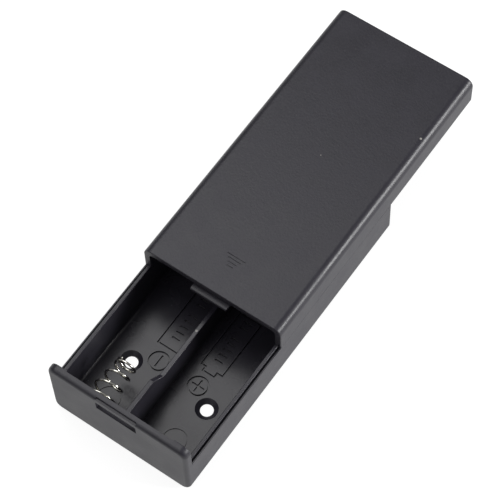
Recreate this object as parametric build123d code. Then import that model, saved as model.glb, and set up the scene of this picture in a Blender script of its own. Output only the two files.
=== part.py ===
from build123d import *
from math import cos, pi, sin
import os

# Battery case for two round cells. The tray holds the cells side by side between sprung and
# rigid contacts, and a cover slides along rails on the tray's side walls. A compartment
# behind the cells holds a small slide switch that is worked through the tray's underside.
# X runs across the case, Y from its front plate to its rear, Z up, all in millimetres.
# The origin is the centre of the tray's underside. The cover stands part way open.

# Case
case_width = 43.0
case_height = 22.1
corner_radius = 2.5
slide_gap = 0.08
end_gap = 0.1

# Tray
floor_thickness = 1.2
side_wall = 1.8
front_thickness = 2.4
front_edge_radius = 1.2
rear_wall = 1.5
rear_walls_gap = 1.6
partition_thickness = 1.4
compartment_length = 14.1
foot_fillet = 0.8
rim_radius = 0.2
shoulder_height = 13.2

# Rail on each side wall: an inner lip that leans out over a groove, and an outer land
lip_height = 0.7
lip_thickness = 1.0
lip_lean = 0.25
groove_depth = 0.8
land_width = 0.35

# Cell bays
cell_diameter = 18.5
bay_length = 72.6
divider_thickness = 1.2
divider_high = 14.3
divider_low = 10.7
divider_step = 12.3
divider_ramp = 3.9

# Countersunk screw holes in the floor
screw_hole_diameter = 3.6
countersink_diameter = 6.2
countersink_depth = 0.9
screw_spacing_x = 24.2
screw_inset = 18.3

# Latch: the cover's tongue snaps into a slot in the front plate
slot_width = 12.4
slot_height = 3.2
slot_bar = 2.0
slot_relief_depth = 0.6
slot_relief_width = 0.8
tongue_side_gap = 0.6
tongue_drop = 0.8
tongue_thickness = 1.0
tongue_reach = 1.6
tongue_root = 6.0
tongue_nose_radius = 0.4
web_setback = 0.4

# Cover
cover_top = 1.7
cover_wall = 1.8
cover_rear_wall = 1.3
cover_inner_radius = 1.2
cover_front_radius = 0.3
cover_rear_radius = 0.4
cover_front_at = 41.0

# Stamped contact plates
plate_thickness = 0.4
plate_width = 11.2
plate_height = 13.4
plate_corner = 1.0
plate_gap = 0.1
bridge_height = 3.8
pocket_depth = 0.35
nub_base_diameter = 7.0
nub_tip_diameter = 3.0
nub_height = 2.9
solder_tab_width = 3.6
solder_tab_length = 4.0
solder_hole_diameter = 1.2
solder_notch_depth = 1.4

# Guides that hold the plates' edges against the end walls
guide_overlap = 0.7
guide_wall = 0.8
guide_lip = 0.6
guide_height = 6.6

# Springs, and the clips lanced from the plate that hold their first turn
wire_diameter = 0.65
spring_base_diameter = 8.0
spring_tip_diameter = 5.4
spring_length = 14.2
spring_open_turns = 3.3
spring_start_angle = -41.0
spring_set_in = 0.8
spring_set_down = 0.6
wire_sides = 8
wire_sections_per_turn = 16
turn_gap = 0.05
clip_gap = 0.05
clip_angle = 40.0
clip_thickness = 0.35
clip_hook = 0.5
clip_width = 1.6

# Slide switch
switch_length = 10.0
switch_width = 5.4
switch_height = 4.6
switch_sheet = 0.35
switch_ear_span = 19.0
switch_pin_spacing = 15.2
switch_pin_diameter = 2.0
switch_pin_gap = 0.05
switch_pin_head_diameter = 3.2
switch_pin_head_height = 0.8
switch_board_thickness = 1.0
slider_block_length = 5.6
slider_block_height = 1.6
slider_gap = 0.1
knob_length = 3.0
knob_width = 2.4
knob_recess = 0.5
switch_travel = 2.0
window_gap = 0.2
floor_window_gap = 0.4
finger_recess_length = 13.0
finger_recess_width = 7.0
finger_recess_depth = 0.6
terminal_count = 3
terminal_spacing = 2.5
terminal_width = 1.2
terminal_thickness = 0.4
terminal_reach = 3.5
terminal_root = 0.3
terminal_gap = 0.02
terminal_hole_diameter = 0.6

# Lead exits in the rear wall
lead_hole_diameter = 1.8
lead_hole_spacing = 6.0
lead_hole_height = 6.0

# Places that follow from the sizes
half_width = case_width / 2
inner_half = half_width - side_wall
tray_length = (
    front_thickness + bay_length + partition_thickness + compartment_length + rear_wall
)
front_y = -tray_length / 2
rear_y = tray_length / 2
bay_front = front_y + front_thickness
bay_rear = bay_front + bay_length
pocket_face = bay_front - pocket_depth
compartment_front = bay_rear + partition_thickness
compartment_rear = rear_y - rear_wall
bay_centre = (divider_thickness / 2 + inner_half) / 2
cell_axis = floor_thickness + cell_diameter / 2
screw_ys = (bay_front + screw_inset, bay_rear - screw_inset)

lip_top = shoulder_height + lip_height
groove_floor = shoulder_height - groove_depth
groove_outer = half_width - land_width

cover_front = front_y + cover_front_at
cover_travel_to_closed = cover_front_at - front_thickness - end_gap
cover_rear_inner = rear_y + end_gap + cover_travel_to_closed
cover_ceiling = case_height - cover_top
seam = shoulder_height + slide_gap
slot_top = case_height - slot_bar
tongue_top = cover_ceiling - tongue_drop
rear_walls_top = tongue_top - tongue_thickness - rear_walls_gap

plate_top = floor_thickness + plate_height
solder_tab_z = rear_walls_top - solder_notch_depth
switch_y = (compartment_front + compartment_rear) / 2


def block(x, y, z):
    """Box between a low and a high limit on each axis."""
    limits = [(min(pair), max(pair)) for pair in (x, y, z)]
    centre = [(low + high) / 2 for low, high in limits]
    return Pos(*centre) * Box(*[high - low for low, high in limits])


def outline(*points):
    """Face inside a closed outline of straight edges."""
    return make_face(Polyline(*points, close=True))


def along_x(section, start, end):
    """Extrude a section drawn in Y and Z from X start to X end."""
    plane = Plane(origin=(start, 0, 0), x_dir=(0, 1, 0), z_dir=(1, 0, 0))
    return extrude(plane * section, amount=end - start)


def along_y(section, start, end):
    """Extrude a section drawn in X and Z from Y start to Y end."""
    plane = Plane(origin=(0, end, 0), x_dir=(1, 0, 0), z_dir=(0, -1, 0))
    return extrude(plane * section, amount=end - start)


def both_sides(shape):
    """The shape and its mirror image across the case's middle."""
    return shape + mirror(shape, about=Plane.YZ)


def seat_plane(centre_x, wall_y, inward):
    """Frame of a contact seat: origin on the end wall at the cell's axis, Z into the bay, Y up."""
    return Plane(origin=(centre_x, wall_y, cell_axis), x_dir=(-inward, 0, 0), z_dir=(0, inward, 0))


front_spring_seat = seat_plane(-bay_centre, pocket_face, 1)
front_nub_seat = seat_plane(bay_centre, pocket_face, 1)
rear_nub_seat = seat_plane(-bay_centre, bay_rear, -1)
rear_spring_seat = seat_plane(bay_centre, bay_rear, -1)
spring_place = Pos(-spring_set_in, -spring_set_down, 0)


def lip_face(height):
    """X of the lip's leaning outer face at a height."""
    lean = lip_lean * (height - groove_floor) / (lip_top - groove_floor)
    return inner_half + lip_thickness - lip_lean + lean


def tray_section():
    """Section of the tray's floor and side walls with their rails."""
    outer = Pos(0, shoulder_height / 2) * Rectangle(case_width, shoulder_height)
    outer = fillet(outer.vertices().group_by(Axis.Y)[0], corner_radius)
    hollow = Pos(0, floor_thickness + case_height / 2) * Rectangle(2 * inner_half, case_height)
    hollow = fillet(hollow.vertices().group_by(Axis.Y)[0], foot_fillet)
    groove = outline(
        (lip_face(groove_floor), groove_floor),
        (groove_outer, groove_floor),
        (groove_outer, lip_top),
        (lip_face(groove_floor), lip_top),
    )
    lip = outline(
        (inner_half, groove_floor),
        (inner_half, lip_top),
        (lip_face(lip_top), lip_top),
        (lip_face(groove_floor), groove_floor),
    )
    lip = fillet(lip.vertices().group_by(Axis.Y)[-1], rim_radius)
    return outer - hollow - both_sides(groove) + both_sides(lip)


def front_plate():
    """Front plate at the case's full width and height, with the latch slot and the link's pocket."""
    section = Pos(0, case_height / 2) * RectangleRounded(case_width, case_height, corner_radius)
    plate = along_y(section, front_y, bay_front)
    plate = fillet(plate.faces().sort_by(Axis.Y)[0].edges(), front_edge_radius)
    plate = fillet(plate.faces().sort_by(Axis.Y)[-1].edges(), rim_radius)
    slot_x = (-slot_width / 2, slot_width / 2)
    slot = block(slot_x, (front_y - 1, bay_front + 1), (slot_top - slot_height, slot_top))
    relief_y = (front_y - 1, front_y + slot_relief_width)
    relief = block(slot_x, relief_y, (case_height - slot_relief_depth, case_height + 1))
    pocket_half = bay_centre + plate_width / 2 + guide_wall
    pocket = block(
        (-pocket_half, pocket_half),
        (pocket_face, bay_front + 1),
        (floor_thickness, case_height + 1),
    )
    bar = block(slot_x, (front_y, front_y + slot_relief_width), (slot_top, case_height - slot_relief_depth))
    return plate - slot - relief - pocket + bar


def divider():
    """Wall between the bays: high beside the contacts, low along the cells."""
    step_front = bay_front + divider_step
    step_rear = bay_rear - divider_step
    side = outline(
        (pocket_face, floor_thickness),
        (pocket_face, divider_high),
        (step_front, divider_high),
        (step_front + divider_ramp, divider_low),
        (step_rear - divider_ramp, divider_low),
        (step_rear, divider_high),
        (bay_rear, divider_high),
        (bay_rear, floor_thickness),
    )
    wall = along_x(side, -divider_thickness / 2, divider_thickness / 2)
    faces = wall.faces().filter_by(Axis.X)
    upper = [edge for edge in faces.edges() if edge.length > divider_ramp and edge.center().Z > floor_thickness]
    wall = fillet(upper, rim_radius)
    notch = block(
        (-divider_thickness, divider_thickness),
        (pocket_face, pocket_face + plate_thickness + plate_gap),
        (cell_axis - bridge_height / 2 - plate_gap, case_height),
    )
    return wall - notch


def guide(seat, side):
    """Upright L-shaped guide for one edge of a contact plate; side is -1 or 1 in the seat's X."""
    bottom = floor_thickness - cell_axis
    top = bottom + guide_height
    edge = plate_width / 2
    depth = plate_thickness + plate_gap
    rail = block(
        (side * (edge - guide_overlap), side * (edge + guide_wall)),
        (bottom, top),
        (0, depth + guide_lip),
    )
    space = block((0, side * (edge + plate_gap)), (bottom, top), (0, depth))
    return seat * (rail - space)


def screw_hole(x, y):
    """Cutter for one countersunk screw hole, from the floor's upper face down."""
    drill = Pos(x, y, floor_thickness / 2) * Cylinder(screw_hole_diameter / 2, 2 * floor_thickness)
    sink = Pos(x, y, floor_thickness - countersink_depth / 2) * Cone(
        screw_hole_diameter / 2, countersink_diameter / 2, countersink_depth
    )
    return drill + sink


def knob_window(gap, low, high):
    """Cutter for the knob's travel with a gap all round, between two heights."""
    length = knob_length + switch_travel + 2 * gap
    width = knob_width + 2 * gap
    return block(
        (-length / 2, length / 2),
        (switch_y - width / 2, switch_y + width / 2),
        (low, high),
    )


def finger_recess():
    """Cutter for the sloping recess round the switch knob in the tray's underside."""
    mouth = Pos(0, switch_y, 0) * RectangleRounded(
        finger_recess_length, finger_recess_width, finger_recess_width / 2 - 0.1
    )
    return extrude(mouth, amount=finger_recess_depth, taper=30)


def stake_pin(side):
    """Moulded pin with a staked head that holds one ear of the switch."""
    x = side * switch_pin_spacing / 2
    ear_top = floor_thickness + switch_sheet + switch_pin_gap
    shank = Pos(x, switch_y, (floor_thickness + ear_top) / 2) * Cylinder(
        switch_pin_diameter / 2, ear_top - floor_thickness
    )
    head = Pos(x, switch_y, ear_top + switch_pin_head_height / 2) * Cone(
        switch_pin_head_diameter / 2, switch_pin_diameter / 2, switch_pin_head_height
    )
    return shank + head


def lead_hole(side):
    """Cutter for one lead's exit through the rear wall."""
    place = Pos(side * lead_hole_spacing / 2, rear_y, lead_hole_height)
    return place * Rot(90, 0, 0) * Cylinder(lead_hole_diameter / 2, 4 * rear_wall)


def rear_walls():
    """Partition behind the cells and the tray's rear wall, with the tab notches and lead exits."""
    upper_half = inner_half - slide_gap
    tab_space = solder_tab_width / 2 + plate_gap
    walls = None
    for start, end in ((bay_rear, compartment_front), (compartment_rear, rear_y)):
        lower = block((-inner_half, inner_half), (start, end), (floor_thickness, lip_top))
        upper = block((-upper_half, upper_half), (start, end), (lip_top, rear_walls_top))
        wall = lower + upper
        walls = wall if walls is None else walls + wall
    for centre in (-bay_centre, bay_centre):
        walls -= block(
            (centre - tab_space, centre + tab_space),
            (bay_rear - 1, compartment_front + 1),
            (solder_tab_z, rear_walls_top + 1),
        )
    return walls


def base_tray():
    """The tray, one moulding."""
    tray = along_y(tray_section(), front_y + front_thickness / 2, rear_y)
    tray += front_plate() + divider() + rear_walls()
    tray += guide(front_spring_seat, 1) + guide(front_nub_seat, -1)
    for seat in (rear_nub_seat, rear_spring_seat):
        tray += guide(seat, -1) + guide(seat, 1)
    for side in (-1, 1):
        tray += stake_pin(side)
        tray -= lead_hole(side)
        for y in screw_ys:
            tray -= screw_hole(side * screw_spacing_x / 2, y)
    tray -= finger_recess()
    tray -= knob_window(floor_window_gap, -1, floor_thickness + 1)
    return tray


def cover_body():
    """Block of the cover's outside, rounded along its upper long edges and round both ends."""
    height = case_height - seam
    section = Pos(0, seam + height / 2) * Rectangle(case_width, height)
    section = fillet(section.vertices().group_by(Axis.Y)[-1], corner_radius)
    body = along_y(section, cover_front, cover_rear_inner + cover_rear_wall)
    front = body.faces().sort_by(Axis.Y)[0].edges().sort_by(Axis.Z)[1:]
    body = fillet(front, cover_front_radius)
    rear = body.faces().sort_by(Axis.Y)[-1].edges().sort_by(Axis.Z)[1:]
    return fillet(rear, cover_rear_radius)


def cover_hollow():
    """Section of the cover's inside, with the steps over the tray's lips."""
    depth = cover_ceiling - seam
    hollow = Pos(0, seam + depth / 2) * Rectangle(2 * (half_width - cover_wall), depth)
    hollow = fillet(hollow.vertices().group_by(Axis.Y)[-1], cover_inner_radius)
    rebate_top = lip_top + slide_gap
    rebate = outline(
        (0, seam),
        (0, rebate_top),
        (lip_face(rebate_top) + slide_gap, rebate_top),
        (lip_face(seam) + slide_gap, seam),
    )
    return hollow + both_sides(rebate)


def cover_legs():
    """Section of the cover's lower edges, which hook into the tray's grooves."""
    leg_bottom = groove_floor + slide_gap
    leg = outline(
        (lip_face(seam) + slide_gap, seam),
        (lip_face(leg_bottom) + slide_gap, leg_bottom),
        (groove_outer - slide_gap, leg_bottom),
        (groove_outer - slide_gap, seam),
    )
    return both_sides(leg)


def tongue():
    """Latch tongue under the cover's front edge."""
    half = slot_width / 2 - tongue_side_gap
    tongue_bottom = tongue_top - tongue_thickness
    side = outline(
        (cover_front - tongue_reach, tongue_top),
        (cover_front - tongue_reach, tongue_bottom),
        (cover_front + tongue_root - tongue_thickness, tongue_bottom),
        (cover_front + tongue_root, cover_ceiling),
        (cover_front + web_setback, cover_ceiling),
        (cover_front + web_setback, tongue_top),
    )
    nose = side.vertices().group_by(Axis.X)[0]
    return along_x(fillet(nose, tongue_nose_radius), -half, half)


def slide_cover():
    """The cover, one moulding."""
    cover = cover_body() - along_y(cover_hollow(), cover_front - 1, cover_rear_inner)
    return cover + along_y(cover_legs(), cover_front, cover_rear_inner) + tongue()


def plate_outline():
    """Contact plate in its seat's frame, standing on the floor, with rounded upper corners."""
    low = floor_thickness - cell_axis
    high = plate_top - cell_axis
    plate = Pos(0, (low + high) / 2) * Rectangle(plate_width, high - low)
    return fillet(plate.vertices().group_by(Axis.Y)[-1], plate_corner)


def nub():
    """Pressed nub that meets a cell's positive end: a hollow cone with a flat tip."""
    base = nub_base_diameter / 2
    tip = nub_tip_diameter / 2
    thick = plate_thickness
    wall = Plane.XZ * outline(
        (base, 0),
        (base, thick),
        (tip, thick + nub_height),
        (0, thick + nub_height),
        (0, nub_height),
        (tip - thick, nub_height),
        (base - thick, 0),
    )
    return revolve(wall, axis=Axis.Z)


def nub_plate():
    """Contact plate with its nub."""
    plate = extrude(plate_outline(), amount=plate_thickness)
    return plate - Cylinder(nub_base_diameter / 2, 4 * plate_thickness) + nub()


def spring_centre(turn):
    """Radius and height of the spring's wire after a number of turns, in its seat's frame."""
    closed_pitch = wire_diameter + turn_gap
    rise = spring_length - wire_diameter - 2 * closed_pitch
    share = min(max((turn - 1) / spring_open_turns, 0), 1)
    tip_turn = max(turn - 1 - spring_open_turns, 0)
    height = min(turn, 1) * closed_pitch + share * rise + tip_turn * closed_pitch
    diameter = spring_base_diameter + share * (spring_tip_diameter - spring_base_diameter)
    return diameter / 2, plate_thickness + turn_gap + wire_diameter / 2 + height


def wire_point(turn):
    """Centre of the spring's wire after a number of turns, in its seat's frame."""
    radius, height = spring_centre(turn)
    angle = spring_start_angle * pi / 180 + 2 * pi * turn
    return Vector(radius * cos(angle), radius * sin(angle), height)


def coil_spring():
    """Right-hand conical spring: one closed turn on the plate, open turns, one closed at the tip."""
    turns = spring_open_turns + 2
    count = round(turns * wire_sections_per_turn)
    sections = []
    for step in range(count + 1):
        turn = turns * step / count
        centre = wire_point(turn)
        along = wire_point(turn + 0.01) - wire_point(turn - 0.01)
        outward = Vector(centre.X, centre.Y, 0)
        across = Plane(origin=centre, x_dir=along.cross(outward), z_dir=along)
        sections.append(across * RegularPolygon(wire_diameter / 2, wire_sides))
    return loft(sections, ruled=True)


def spring_clip(angle):
    """Clip bent over the spring's first turn, at an angle round the spring."""
    turn = (angle - spring_start_angle) / 360 % 1
    radius, height = spring_centre(turn)
    wire = wire_diameter / 2
    inner = radius + wire + clip_gap
    under = height + wire + clip_gap
    hook = outline(
        (inner, 0),
        (inner + clip_thickness, 0),
        (inner + clip_thickness, under + clip_thickness),
        (inner - wire - clip_hook, under + clip_thickness),
        (inner - wire - clip_hook, under),
        (inner, under),
    )
    return Rot(0, 0, angle) * extrude(Plane.XZ * hook, amount=clip_width / 2, both=True)


def spring_plate():
    """Contact plate with the clips that hold a spring."""
    clips = spring_place * (spring_clip(clip_angle) + spring_clip(clip_angle + 180))
    return extrude(plate_outline(), amount=plate_thickness) + clips


def solder_tab():
    """Neck and tab that lead a rear plate over the partition, in the plate's seat frame."""
    half = solder_tab_width / 2
    under = solder_tab_z - cell_axis
    reach = partition_thickness + solder_tab_length
    neck = block((-half, half), (plate_top - plate_corner - cell_axis, under), (0, plate_thickness))
    tab = block((-half, half), (under, under + plate_thickness), (-reach, plate_thickness))
    outer_bend = (neck + tab).edges().filter_by(Axis.X).group_by(Axis.Z)[-1].sort_by(Axis.Y)[-1]
    bent = fillet(outer_bend, plate_thickness * 0.9)
    hole = Pos(0, under, solder_tab_width / 2 - reach) * Rot(90, 0, 0) * Cylinder(
        solder_hole_diameter / 2, 4 * plate_thickness
    )
    return bent - hole


def series_link():
    """Front contact: a spring plate and a nub plate joined by a bridge behind the front plate."""
    bridge = block(
        (-bay_centre, bay_centre),
        (pocket_face, pocket_face + plate_thickness),
        (cell_axis - bridge_height / 2, cell_axis + bridge_height / 2),
    )
    nub_clear = front_nub_seat * Cylinder(nub_base_diameter / 2, 4 * plate_thickness)
    plates = front_spring_seat * spring_plate() + front_nub_seat * nub_plate()
    return plates + (bridge - nub_clear)


def switch_shell():
    """Bent sheet shell of the switch, open upwards, with an ear at each end."""
    low = floor_thickness
    half_length = switch_length / 2
    half_across = switch_width / 2
    outer = block(
        (-half_length, half_length),
        (switch_y - half_across, switch_y + half_across),
        (low, low + switch_height),
    )
    inner = block(
        (-half_length + switch_sheet, half_length - switch_sheet),
        (switch_y - half_across + switch_sheet, switch_y + half_across - switch_sheet),
        (low + switch_sheet, low + switch_height + 1),
    )
    ears = Pos(0, switch_y, low) * extrude(
        RectangleRounded(switch_ear_span, switch_width, switch_width / 2 - 0.1),
        amount=switch_sheet,
    )
    shell = outer + ears - inner
    shell -= knob_window(window_gap, low - 1, low + switch_sheet + 0.01)
    for side in (-1, 1):
        hole = Cylinder(switch_pin_diameter / 2 + switch_pin_gap, 4 * switch_sheet)
        shell -= Pos(side * switch_pin_spacing / 2, switch_y, low) * hole
    return shell


def switch_slider():
    """Slider at its off end, with the knob that reaches down into the floor's window."""
    x = -switch_travel / 2
    half_across = switch_width / 2 - switch_sheet - slider_gap
    low = floor_thickness + switch_sheet + slider_gap
    body = block(
        (x - slider_block_length / 2, x + slider_block_length / 2),
        (switch_y - half_across, switch_y + half_across),
        (low, low + slider_block_height),
    )
    knob = block(
        (x - knob_length / 2, x + knob_length / 2),
        (switch_y - knob_width / 2, switch_y + knob_width / 2),
        (knob_recess, low),
    )
    return body + knob


def terminal_x(index):
    """X of one of the switch's terminals."""
    return (index - (terminal_count - 1) / 2) * terminal_spacing


def switch_terminal(index):
    """Flat terminal with a solder hole, standing up through the switch's board."""
    x = terminal_x(index)
    board_top = floor_thickness + switch_height
    low = board_top - switch_board_thickness - terminal_root
    high = board_top + terminal_reach
    blade = block(
        (x - terminal_width / 2, x + terminal_width / 2),
        (switch_y - terminal_thickness / 2, switch_y + terminal_thickness / 2),
        (low, high),
    )
    hole = Pos(x, switch_y, high - terminal_width / 2) * Rot(90, 0, 0) * Cylinder(
        terminal_hole_diameter / 2, 4 * terminal_thickness
    )
    return blade - hole


def switch_board():
    """Insulating board that closes the switch's shell and carries its terminals."""
    gap = switch_sheet + terminal_gap
    top = floor_thickness + switch_height
    board = block(
        (-switch_length / 2 + gap, switch_length / 2 - gap),
        (switch_y - switch_width / 2 + gap, switch_y + switch_width / 2 - gap),
        (top - switch_board_thickness, top),
    )
    for index in range(terminal_count):
        x = terminal_x(index)
        half_wide = terminal_width / 2 + terminal_gap
        half_thick = terminal_thickness / 2 + terminal_gap
        board -= block(
            (x - half_wide, x + half_wide),
            (switch_y - half_thick, switch_y + half_thick),
            (top - 2 * switch_board_thickness, top + 1),
        )
    return board


nodes = {
    "base_tray": base_tray(),
    "slide_cover": slide_cover(),
    "series_link": series_link(),
    "front_spring": front_spring_seat * (spring_place * coil_spring()),
    "rear_positive_contact": rear_nub_seat * (nub_plate() + solder_tab()),
    "rear_negative_contact": rear_spring_seat * (spring_plate() + solder_tab()),
    "rear_spring": rear_spring_seat * (spring_place * coil_spring()),
    "switch_shell": switch_shell(),
    "switch_board": switch_board(),
    "switch_slider": switch_slider(),
}
for number in range(terminal_count):
    nodes[f"switch_terminal_{number + 1}"] = switch_terminal(number)

os.makedirs("parts", exist_ok=True)
for name, shape in nodes.items():
    export_step(shape, f"parts/{name}.step")
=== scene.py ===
import math

import bmesh
import bpy
from mathutils import Matrix, Vector


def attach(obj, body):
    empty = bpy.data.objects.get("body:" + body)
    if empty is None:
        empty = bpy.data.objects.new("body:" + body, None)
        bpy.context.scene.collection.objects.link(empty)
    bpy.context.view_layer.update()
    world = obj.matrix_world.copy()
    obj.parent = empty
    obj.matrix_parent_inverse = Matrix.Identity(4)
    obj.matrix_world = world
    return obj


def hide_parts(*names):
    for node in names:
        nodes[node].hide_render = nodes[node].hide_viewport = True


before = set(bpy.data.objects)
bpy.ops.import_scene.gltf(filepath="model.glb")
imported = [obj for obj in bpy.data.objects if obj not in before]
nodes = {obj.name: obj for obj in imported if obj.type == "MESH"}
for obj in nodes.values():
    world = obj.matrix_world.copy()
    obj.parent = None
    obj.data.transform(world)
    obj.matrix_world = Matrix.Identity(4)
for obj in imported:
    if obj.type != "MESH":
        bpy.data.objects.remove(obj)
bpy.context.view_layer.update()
mm = 0.001


# The tray is one injection moulding in black plastic. Its faces keep the fine grain of the mould's
# spark-eroded steel, with a slightly uneven gloss and a few specks of settled dust. The mould's
# cores were polished, so the insides of the two bays are smoother than the rest.
black = (0.0225, 0.0212, 0.0285)
case_roughness = 0.37
grain_depth = 0.036 * mm
case_dust = 0.9
plastic_ior = 1.42
grains_per_metre, clouds_per_metre = 1600, 160
specks_per_metre, dusty_patches_per_metre = 210, 150
largest_speck = 0.17
gloss_drift = 0.03
dullness_of_sides = 0.1
polish = 0.11
grain_left_by_polish = 0.3


def feed(tree, pairs):
    for value, socket in pairs:
        if isinstance(value, bpy.types.NodeSocket):
            tree.links.new(value, socket)
        else:
            socket.default_value = value


def group(name, inputs, outputs):
    tree = bpy.data.node_groups.new(name, "ShaderNodeTree")
    for label, kind, value in inputs:
        socket = tree.interface.new_socket(label, in_out="INPUT", socket_type=kind)
        socket.default_value = value
    for label, kind in outputs:
        tree.interface.new_socket(label, in_out="OUTPUT", socket_type=kind)
    return tree, tree.nodes.new("NodeGroupInput"), tree.nodes.new("NodeGroupOutput")


def noise(tree, place, scale, detail):
    node = tree.nodes.new("ShaderNodeTexNoise")
    values = {"Vector": place, "Scale": scale, "Detail": detail}
    feed(tree, [(value, node.inputs[label]) for label, value in values.items()])
    return node.outputs["Fac"]


def ranged(tree, value, low, high, out_low, out_high):
    node = tree.nodes.new("ShaderNodeMapRange")
    values = {"Value": value, "From Min": low, "From Max": high, "To Min": out_low, "To Max": out_high}
    feed(tree, [(given, node.inputs[label]) for label, given in values.items()])
    return node.outputs["Result"]


def maths(tree, operation, *values):
    node = tree.nodes.new("ShaderNodeMath")
    node.operation = operation
    feed(tree, zip(values, node.inputs))
    return node.outputs["Value"]


def toned(tree, colour, red, green, blue):
    tone = tree.nodes.new("ShaderNodeCombineColor")
    shade = tree.nodes.new("ShaderNodeMix")
    shade.data_type = "RGBA"
    shade.blend_type = "MULTIPLY"
    feed(tree, [
        (red, tone.inputs["Red"]), (green, tone.inputs["Green"]), (blue, tone.inputs["Blue"]),
        (1, shade.inputs["Factor"]), (colour, shade.inputs["A"]),
        (tone.outputs["Color"], shade.inputs["B"]),
    ])
    return shade.outputs["Result"]


moulded, given, made = group(
    "moulded finish",
    [
        ("Colour", "NodeSocketColor", (0.02, 0.02, 0.021, 1)),
        ("Dust Colour", "NodeSocketColor", (0.3, 0.29, 0.27, 1)),
        ("Gloss", "NodeSocketFloat", 0.45),
        ("Dust", "NodeSocketFloat", 0.5),
    ],
    [
        ("Colour", "NodeSocketColor"),
        ("Roughness", "NodeSocketFloat"),
        ("Height", "NodeSocketFloat"),
    ],
)
place = moulded.nodes.new("ShaderNodeTexCoord").outputs["Object"]
surface = moulded.nodes.new("ShaderNodeNewGeometry")
facing = moulded.nodes.new("ShaderNodeSeparateXYZ")
speck = moulded.nodes.new("ShaderNodeTexVoronoi")
feed(moulded, [
    (surface.outputs["Normal"], facing.inputs["Vector"]),
    (place, speck.inputs["Vector"]), (specks_per_metre, speck.inputs["Scale"]),
])
grain = noise(moulded, place, grains_per_metre, 3)
cloud = noise(moulded, place, clouds_per_metre, 3)
dusty_patch = noise(moulded, place, dusty_patches_per_metre, 1)
upward = ranged(moulded, facing.outputs["Z"], 0.6, 0.95, 0, 1)
speck_size = ranged(moulded, dusty_patch, 0.6, 0.8, 0, largest_speck)
speck_mask = maths(moulded, "LESS_THAN", speck.outputs["Distance"], speck_size)
settled = maths(moulded, "MULTIPLY", speck_mask, upward)
tilt = maths(moulded, "ABSOLUTE", facing.outputs["Z"])
side_dullness = ranged(moulded, tilt, 0.15, 0.5, dullness_of_sides, 0)
drift = ranged(moulded, cloud, 0.3, 0.7, -gloss_drift, gloss_drift)
level = ranged(moulded, cloud, 0.3, 0.7, 0.9, 1.1)
dusted = moulded.nodes.new("ShaderNodeMix")
dusted.data_type = "RGBA"
feed(moulded, [
    (maths(moulded, "MULTIPLY", settled, given.outputs["Dust"]), dusted.inputs["Factor"]),
    (toned(moulded, given.outputs["Colour"], level, level, level), dusted.inputs["A"]),
    (given.outputs["Dust Colour"], dusted.inputs["B"]),
    (dusted.outputs["Result"], made.inputs["Colour"]),
    (maths(moulded, "ADD", maths(moulded, "ADD", given.outputs["Gloss"], drift), side_dullness),
     made.inputs["Roughness"]),
    (grain, made.inputs["Height"]),
])


def finished(name, effect, values, depth):
    material = bpy.data.materials.new(name)
    material.use_nodes = True
    tree = material.node_tree
    shader = tree.nodes["Principled BSDF"]
    finish = tree.nodes.new("ShaderNodeGroup")
    finish.name = "finish"
    finish.node_tree = effect
    relief = tree.nodes.new("ShaderNodeBump")
    relief.name = "relief"
    feed(tree, [(value, finish.inputs[label]) for label, value in values.items()])
    feed(tree, [
        (1, relief.inputs["Strength"]), (depth, relief.inputs["Distance"]),
        (finish.outputs["Height"], relief.inputs["Height"]),
        (finish.outputs["Colour"], shader.inputs["Base Color"]),
        (finish.outputs["Roughness"], shader.inputs["Roughness"]),
        (relief.outputs["Normal"], shader.inputs["Normal"]),
    ])
    return material


def plastic(name, colour, roughness, depth, dust):
    values = {"Colour": (*colour, 1), "Gloss": roughness, "Dust": dust}
    material = finished(name, moulded, values, depth)
    material.node_tree.nodes["Principled BSDF"].inputs["IOR"].default_value = plastic_ior
    return material


tray_plastic = plastic("tray plastic", black, case_roughness, grain_depth, case_dust)
tree = tray_plastic.node_tree
spot = tree.nodes.new("ShaderNodeSeparateXYZ")
feed(tree, [(tree.nodes.new("ShaderNodeTexCoord").outputs["Object"], spot.inputs["Vector"])])
bays = 1
for value, last_inside, first_outside in (
    (maths(tree, "ABSOLUTE", spot.outputs["X"]), 19.6 * mm, 19.75 * mm),
    (spot.outputs["Y"], -43.3 * mm, -43.5 * mm),
    (spot.outputs["Y"], 28.8 * mm, 29.1 * mm),
    (spot.outputs["Z"], 12 * mm, 12.5 * mm),
):
    bays = maths(tree, "MULTIPLY", bays, ranged(tree, value, last_inside, first_outside, 1, 0))
finish, relief = tree.nodes["finish"], tree.nodes["relief"]
centred_grain = maths(tree, "SUBTRACT", finish.outputs["Height"], 0.5)
grain_kept = ranged(tree, bays, 0, 1, 1, grain_left_by_polish)
gain = maths(tree, "MULTIPLY", bays, polish)
feed(tree, [
    (maths(tree, "SUBTRACT", finish.outputs["Roughness"], gain),
     tree.nodes["Principled BSDF"].inputs["Roughness"]),
    (maths(tree, "MULTIPLY", centred_grain, grain_kept), relief.inputs["Height"]),
])


# The tray's marks are engraved in the floors of its bays by raised lines on the mould: a polarity
# sign at each end of a bay, the outline of a cell with a row of short bars in it, and the thin
# ring that an ejector pin leaves near the front plate.
floor_top = 1.2 * mm
line_width = 0.5 * mm
line_depth = 0.5 * mm
cutter_rise = 1 * mm
bay_middle = -7.3 * mm
sign_ring_radius, plus_arm, minus_half = 2.7 * mm, 1.9 * mm, 1.85 * mm
left_sign_x, right_sign_x, front_sign_y = -6.1 * mm, 6.5 * mm, -21.3 * mm
cell_shoulder, cell_nub_tip, cell_flat_end = -15.6 * mm, -16.95 * mm, 2.3 * mm
bar_half, bar_pitch, bar_steps = 1.2 * mm, 1.9 * mm, (0, 1, 2, 3, 4, 6, 7)
pin_x, pin_y, pin_radius = 10.5 * mm, -37.1 * mm, 3.2 * mm
pin_ring_width, pin_ring_depth = 0.34 * mm, 0.25 * mm


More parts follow.
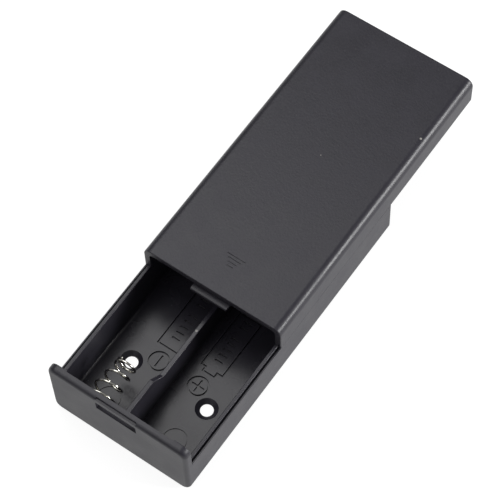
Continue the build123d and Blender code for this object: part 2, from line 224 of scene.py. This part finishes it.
def prism(mesh, rings, low, high):
    levels = []
    for height in (low, high):
        levels.append([[mesh.verts.new((x, y, height)) for x, y in ring] for ring in rings])
    for bottom, top in zip(*levels):
        for i in range(len(bottom)):
            j = (i + 1) % len(bottom)
            mesh.faces.new((bottom[i], bottom[j], top[j], top[i]))
    for level in levels:
        if len(rings) == 1:
            mesh.faces.new(level[0])
            continue
        for i in range(len(rings[0])):
            j = (i + 1) % len(rings[0])
            mesh.faces.new((level[0][i], level[0][j], level[1][j], level[1][i]))


def offset(points, distance):
    moved = []
    for i, here in enumerate(points):
        before, after = points[i - 1], points[(i + 1) % len(points)]
        first = Vector((here[1] - before[1], before[0] - here[0])).normalized()
        second = Vector((after[1] - here[1], here[0] - after[0])).normalized()
        mitre = (first + second) / (1 + first.dot(second))
        moved.append((here[0] + mitre.x * distance, here[1] + mitre.y * distance))
    return moved


def engraved_loop(mesh, points, face, depth, width):
    rings = [offset(points, width / 2), offset(points, -width / 2)]
    prism(mesh, rings, face - depth, face + cutter_rise)


def engraved_bar(mesh, start, end, face, depth, width):
    along = (Vector(end) - Vector(start)).normalized() * width / 2
    side = Vector((-along.y, along.x))
    corners = [Vector(start) + side, Vector(start) - side, Vector(end) - side, Vector(end) + side]
    prism(mesh, [[tuple(corner) for corner in corners]], face - depth, face + cutter_rise)


def circle(x, y, radius, count=48):
    angles = [2 * math.pi * i / count for i in range(count)]
    return [(x + radius * math.cos(a), y + radius * math.sin(a)) for a in angles]


def sign_ring(mesh, x, y):
    ring = circle(x, y, sign_ring_radius)
    engraved_loop(mesh, ring, floor_top, line_depth, line_width)


def plus_sign(mesh, x, y):
    sign_ring(mesh, x, y)
    half = line_width / 2
    points = []
    for cos, sin in ((1, 0), (0, 1), (-1, 0), (0, -1)):
        for i, j in ((half, plus_arm), (-half, plus_arm), (-half, half)):
            points.append((x + cos * i - sin * j, y + sin * i + cos * j))
    prism(mesh, [points], floor_top - line_depth, floor_top + cutter_rise)


def minus_sign(mesh, x, y):
    sign_ring(mesh, x, y)
    ends = (x, y - minus_half), (x, y + minus_half)
    engraved_bar(mesh, *ends, floor_top, line_depth, line_width)


def cell_outline(left, right, nub_left, nub_right):
    return [
        (left * mm, cell_shoulder), (nub_left * mm, cell_shoulder),
        (nub_left * mm, cell_nub_tip), (nub_right * mm, cell_nub_tip),
        (nub_right * mm, cell_shoulder), (right * mm, cell_shoulder),
        (right * mm, cell_flat_end), (left * mm, cell_flat_end),
    ]


def turned_end_for_end(points):
    return [(x, 2 * bay_middle - y) for x, y in reversed(points)]


def tray_marks(mesh):
    for x in (-pin_x, pin_x):
        engraved_loop(mesh, circle(x, pin_y, pin_radius), floor_top, pin_ring_depth, pin_ring_width)
    rear_sign_y = 2 * bay_middle - front_sign_y
    minus_sign(mesh, left_sign_x, front_sign_y)
    plus_sign(mesh, right_sign_x, front_sign_y)
    plus_sign(mesh, left_sign_x, rear_sign_y)
    minus_sign(mesh, right_sign_x, rear_sign_y)
    right_cell = cell_outline(3.5, 10.2, 4.85, 8.5)
    left_cell = turned_end_for_end(cell_outline(-9.6, -2.9, -8.1, -4.4))
    for outline in (right_cell, left_cell):
        engraved_loop(mesh, outline, floor_top, line_depth, line_width)
    for x, first_bar_y in ((6.85 * mm, -12.6 * mm), (-6.25 * mm, -13.6 * mm)):
        for step in bar_steps:
            y = first_bar_y + step * bar_pitch
            ends = (x - bar_half, y), (x + bar_half, y)
            engraved_bar(mesh, *ends, floor_top, line_depth, line_width)


def engrave(node, name, make_cutters, body, material):
    source = bmesh.new()
    source.from_mesh(nodes[node].data)
    bmesh.ops.remove_doubles(source, verts=source.verts, dist=0.0005 * mm)
    copy = bpy.data.meshes.new(name)
    source.to_mesh(copy)
    source.free()
    piece = bpy.data.objects.new(name, copy)
    cut = bmesh.new()
    make_cutters(cut)
    bmesh.ops.recalc_face_normals(cut, faces=cut.faces)
    cutter_mesh = bpy.data.meshes.new(name + " cutter")
    cut.to_mesh(cutter_mesh)
    cut.free()
    cutter = bpy.data.objects.new(name + " cutter", cutter_mesh)
    for new in (piece, cutter):
        bpy.context.scene.collection.objects.link(new)
    engraving = piece.modifiers.new("engraving", "BOOLEAN")
    engraving.object = cutter
    engraving.operation = "DIFFERENCE"
    engraving.solver = "EXACT"
    bpy.context.view_layer.update()
    cut_piece = piece.evaluated_get(bpy.context.evaluated_depsgraph_get())
    result = bpy.data.meshes.new_from_object(cut_piece)
    piece.modifiers.clear()
    piece.data = result
    bpy.data.objects.remove(cutter)
    for old in (copy, cutter_mesh):
        bpy.data.meshes.remove(old)
    result.name = name
    for layer in ("custom_normal", "sharp_edge", "sharp_face"):
        if layer in result.attributes:
            result.attributes.remove(result.attributes[layer])
    result.polygons.foreach_set("use_smooth", [True] * len(result.polygons))
    result.set_sharp_from_angle(angle=math.radians(32))
    weighted = piece.modifiers.new("even shading", "WEIGHTED_NORMAL")
    weighted.keep_sharp = True
    result.materials.clear()
    result.materials.append(material)
    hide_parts(node)
    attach(piece, body)


engrave("base_tray", "tray_moulding", tray_marks, "case", tray_plastic)


# The contacts are stamped from thin nickel-plated spring steel, bent and pushed down between the
# guides on the end walls. Rolling leaves faint lines along the strip, and plating keeps it bright.
stretch_along_strip = (0.06, 1, 1)
warmth = 0.985

rolled, given, made = group(
    "rolled metal",
    [
        ("Colour", "NodeSocketColor", (0.7, 0.68, 0.64, 1)),
        ("Gloss", "NodeSocketFloat", 0.28),
        ("Fineness", "NodeSocketFloat", 900.0),
    ],
    [
        ("Colour", "NodeSocketColor"),
        ("Roughness", "NodeSocketFloat"),
        ("Height", "NodeSocketFloat"),
    ],
)
place = rolled.nodes.new("ShaderNodeTexCoord").outputs["Object"]
stretch = rolled.nodes.new("ShaderNodeMapping")
feed(rolled, [(place, stretch.inputs["Vector"]), (stretch_along_strip, stretch.inputs["Scale"])])
streak = noise(rolled, stretch.outputs["Vector"], given.outputs["Fineness"], 3)
stain = noise(rolled, place, 240, 3)
level = ranged(rolled, stain, 0.3, 0.7, 0.86, 1.04)
warm = maths(rolled, "MULTIPLY", level, warmth)
drift = ranged(rolled, streak, 0.3, 0.7, -0.05, 0.07)
feed(rolled, [
    (toned(rolled, given.outputs["Colour"], level, level, warm), made.inputs["Colour"]),
    (maths(rolled, "ADD", given.outputs["Gloss"], drift), made.inputs["Roughness"]),
    (streak, made.inputs["Height"]),
])


def metal(name, colour, roughness, fineness, depth):
    values = {"Colour": (*colour, 1), "Gloss": roughness, "Fineness": fineness}
    material = finished(name, rolled, values, depth)
    material.node_tree.nodes["Principled BSDF"].inputs["Metallic"].default_value = 1
    return material


def coat(node, material):
    mesh = nodes[node].data
    if not mesh.materials:
        mesh.materials.append(material)
    for index in range(len(mesh.materials)):
        mesh.materials[index] = material


contact_nickel = metal("contact nickel", (0.74, 0.72, 0.67), 0.26, 1100.0, 0.004 * mm)
for node in ("series_link", "rear_positive_contact", "rear_negative_contact"):
    coat(node, contact_nickel)


# Each spring is wound from bright nickel-plated wire as a cone, closed flat at both ends, and its
# first turn is held to the plate by two small clips. One stands in each bay's negative end.
spring_nickel = metal("spring nickel", (0.8, 0.78, 0.73), 0.16, 1600.0, 0.002 * mm)
wire = 0.65 * mm
base_radius, tip_radius = 4.0 * mm, 2.7 * mm
spring_length = 14.2 * mm
open_turns = 3.3
all_turns = open_turns + 2
first_angle = math.radians(-41)
plate = 0.4 * mm
turn_gap = 0.05 * mm
front_seat = Vector((-9.35 * mm, -43.95 * mm, 9.85 * mm))
rear_seat = Vector((9.35 * mm, 29.0 * mm, 9.85 * mm))
wire_steps, wire_sides = 330, 14
cut_end = 0.72


def wire_centre(turn):
    closed = wire + turn_gap
    rise = spring_length - wire - 2 * closed
    share = min(max((turn - 1) / open_turns, 0), 1)
    height = min(turn, 1) * closed + share * rise + max(turn - 1 - open_turns, 0) * closed
    radius = base_radius + share * (tip_radius - base_radius)
    angle = first_angle + 2 * math.pi * turn
    base = plate + turn_gap + wire / 2
    return Vector((radius * math.cos(angle), radius * math.sin(angle), base + height))


def smooth_centre(turn):
    near = [min(max(turn + step * 0.04, 0), all_turns) for step in (-2, -1, 0, 1, 2)]
    angle = first_angle + 2 * math.pi * turn
    points = [wire_centre(t) for t in near]
    radius = sum(p.xy.length for p in points) / len(points)
    height = sum(p.z for p in points) / len(points)
    return Vector((radius * math.cos(angle), radius * math.sin(angle), height))


def wire_ring(turn, size):
    here = smooth_centre(turn)
    ahead = (smooth_centre(turn + 0.01) - smooth_centre(turn - 0.01)).normalized()
    outward = Vector((here.x, here.y, 0))
    outward = (outward - ahead * outward.dot(ahead)).normalized()
    across = ahead.cross(outward)
    angles = [2 * math.pi * side / wire_sides for side in range(wire_sides)]
    return [here + (outward * math.cos(a) + across * math.sin(a)) * size for a in angles]


def coil(name, node, seat, inward):
    axes = Matrix(((-inward, 0, 0), (0, 0, inward), (0, 1, 0)))
    mesh = bmesh.new()
    rings = []
    for step in range(wire_steps + 1):
        size = wire / 2 * (1 if 0 < step < wire_steps else cut_end)
        ring = wire_ring(all_turns * step / wire_steps, size)
        rings.append([mesh.verts.new(seat + axes @ point) for point in ring])
    for first, second in zip(rings, rings[1:]):
        for side in range(wire_sides):
            after = (side + 1) % wire_sides
            face = mesh.faces.new((first[side], first[after], second[after], second[side]))
            face.smooth = True
    mesh.faces.new(rings[0])
    mesh.faces.new(rings[-1])
    bmesh.ops.recalc_face_normals(mesh, faces=mesh.faces)
    data = bpy.data.meshes.new(name)
    mesh.to_mesh(data)
    mesh.free()
    data.materials.append(spring_nickel)
    piece = bpy.data.objects.new(name, data)
    bpy.context.scene.collection.objects.link(piece)
    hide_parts(node)
    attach(piece, "case")


coil("front_coil", "front_spring", front_seat, 1)
coil("rear_coil", "rear_spring", rear_seat, -1)


# The slide switch is a folded sheet-steel shell with a pressed board as its lid and three tinned
# terminals. Its black slider carries the knob, and two pins staked over its ears hold it down.
coat("switch_shell", metal("switch steel", (0.6, 0.6, 0.58), 0.34, 700.0, 0.004 * mm))
tinned = metal("tinned terminal", (0.72, 0.7, 0.66), 0.32, 900.0, 0.004 * mm)
for number in (1, 2, 3):
    coat(f"switch_terminal_{number}", tinned)
coat("switch_slider", plastic("slider plastic", (0.018, 0.018, 0.02), 0.38, 0.008 * mm, 0.0))

laminate = bpy.data.materials.new("pressed laminate")
laminate.use_nodes = True
tree = laminate.node_tree
shader = tree.nodes["Principled BSDF"]
fibre = noise(tree, tree.nodes.new("ShaderNodeTexCoord").outputs["Object"], 2400, 4)
brown = tree.nodes.new("ShaderNodeValToRGB")
for stop, position, colour in zip(
    brown.color_ramp.elements, (0.32, 0.68), ((0.13, 0.06, 0.025, 1), (0.26, 0.14, 0.065, 1))
):
    stop.position = position
    stop.color = colour
weave = tree.nodes.new("ShaderNodeBump")
feed(tree, [
    (0.5, shader.inputs["Roughness"]), (0.01 * mm, weave.inputs["Distance"]),
    (fibre, brown.inputs["Fac"]), (brown.outputs["Color"], shader.inputs["Base Color"]),
    (fibre, weave.inputs["Height"]), (weave.outputs["Normal"], shader.inputs["Normal"]),
])
coat("switch_board", laminate)


# The cover is a second moulding in the same plastic. An arrow of four short bars is engraved in its
# top near the front edge and shows which way it opens.
cover_top = 22.1 * mm
arrow_depth, arrow_width = 0.16 * mm, 0.3 * mm
arrow_bars = ((5.7 * mm, 6.25 * mm), (3.9 * mm, 5.35 * mm), (2.8 * mm, 4.25 * mm), (1.9 * mm, 3.2 * mm))


def cover_arrow(mesh):
    for length, y in arrow_bars:
        ends = (-length / 2, y), (length / 2, y)
        engraved_bar(mesh, *ends, cover_top, arrow_depth, arrow_width)


case_plastic = plastic("case plastic", black, case_roughness, grain_depth, case_dust)
engrave("slide_cover", "cover_moulding", cover_arrow, "cover", case_plastic)


# The case lies on a plain white floor in a white room. The floor glows a little where it is looked
# at, so that it stays white around the case's shadow, and lights the case as plain matt white.
floor_half = 4
floor_drop = 0.02 * mm
floor_glow = 0.87
matt_white, faint_white = (0.8, 0.8, 0.8, 1), (0.26, 0.26, 0.26, 1)
room_strength = 0.26

floor_mesh = bpy.data.meshes.new("floor")
floor_corners = [(x * floor_half, y * floor_half, 0) for x, y in ((-1, -1), (1, -1), (1, 1), (-1, 1))]
floor_mesh.from_pydata(floor_corners, [], [(0, 1, 2, 3)])
floor = bpy.data.objects.new("floor", floor_mesh)
floor.location.z = -floor_drop
bpy.context.scene.collection.objects.link(floor)
white = bpy.data.materials.new("white floor")
white.use_nodes = True
tree = white.node_tree
tree.nodes.clear()
ray = tree.nodes.new("ShaderNodeLightPath")
matt = tree.nodes.new("ShaderNodeBsdfDiffuse")
faint = tree.nodes.new("ShaderNodeBsdfDiffuse")
glow = tree.nodes.new("ShaderNodeEmission")
seen = tree.nodes.new("ShaderNodeAddShader")
pick = tree.nodes.new("ShaderNodeMixShader")
output = tree.nodes.new("ShaderNodeOutputMaterial")
watched = maths(tree, "MAXIMUM", ray.outputs["Is Camera Ray"], ray.outputs["Is Glossy Ray"])
watched = maths(tree, "MAXIMUM", watched, ray.outputs["Is Transmission Ray"])
feed(tree, [
    (matt_white, matt.inputs["Color"]), (faint_white, faint.inputs["Color"]),
    (floor_glow, glow.inputs["Strength"]), (faint.outputs["BSDF"], seen.inputs[0]),
    (glow.outputs["Emission"], seen.inputs[1]), (watched, pick.inputs["Fac"]),
    (matt.outputs["BSDF"], pick.inputs[1]), (seen.outputs["Shader"], pick.inputs[2]),
    (pick.outputs["Shader"], output.inputs["Surface"]),
])
floor_mesh.materials.append(white)

world = bpy.data.worlds.new("white room")
bpy.context.scene.world = world
world.use_nodes = True
tree = world.node_tree
tree.nodes.clear()
ray = tree.nodes.new("ShaderNodeLightPath")
room = tree.nodes.new("ShaderNodeBackground")
clear = tree.nodes.new("ShaderNodeBackground")
pick = tree.nodes.new("ShaderNodeMixShader")
output = tree.nodes.new("ShaderNodeOutputWorld")
feed(tree, [
    ((1, 1, 1, 1), room.inputs["Color"]), (room_strength, room.inputs["Strength"]),
    ((1, 1, 1, 1), clear.inputs["Color"]), (1, clear.inputs["Strength"]),
    (ray.outputs["Is Camera Ray"], pick.inputs["Fac"]),
    (room.outputs["Background"], pick.inputs[1]), (clear.outputs["Background"], pick.inputs[2]),
    (pick.outputs["Shader"], output.inputs["Surface"]),
])


# Three soft lamps light the case: a wide one hangs flat above it, a bright one stands to its right
# and draws the light line along the cover's edge, and a weak one in front softens the front plate.
for name, place, size, radiance, aimed in (
    ("wide lamp", (-0.27, 0.11, 0.6), (0.46, 0.42), 3.0, False),
    ("side lamp", (0.57, 0.31, 0.25), (0.22, 0.19), 32.0, True),
    ("front lamp", (-0.16, -0.34, 0.5), (0.4, 0.3), 1.5, True),
):
    lamp_data = bpy.data.lights.new(name, "AREA")
    lamp_data.shape = "RECTANGLE"
    lamp_data.size, lamp_data.size_y = size
    lamp_data.energy = radiance * math.pi * size[0] * size[1]
    lamp = bpy.data.objects.new(name, lamp_data)
    lamp.location = place
    if aimed:
        lamp.rotation_euler = Vector(place).to_track_quat("Z", "Y").to_euler()
    lamp.visible_camera = False
    bpy.context.scene.collection.objects.link(lamp)


# The camera looks down on the case from its front right corner through a long lens, where the
# case's corners fall as they do in the photograph.
camera_place = (0.157590, -0.192554, 0.494949)
heading, tilt, roll = 0.655, 0.4958, -0.049

camera_data = bpy.data.cameras.new("camera")
camera_data.lens = 150.876
camera_data.sensor_width = 36
camera_data.shift_x = -0.00274
camera_data.shift_y = 0.00012
camera_data.clip_start = 0.01
camera = bpy.data.objects.new("camera", camera_data)
turn = Matrix.Rotation(heading, 4, "Z") @ Matrix.Rotation(tilt, 4, "X") @ Matrix.Rotation(roll, 4, "Z")
camera.matrix_world = Matrix.Translation(camera_place) @ turn
bpy.context.scene.collection.objects.link(camera)
bpy.context.scene.camera = camera
bpy.context.scene.view_settings.view_transform = "Standard"
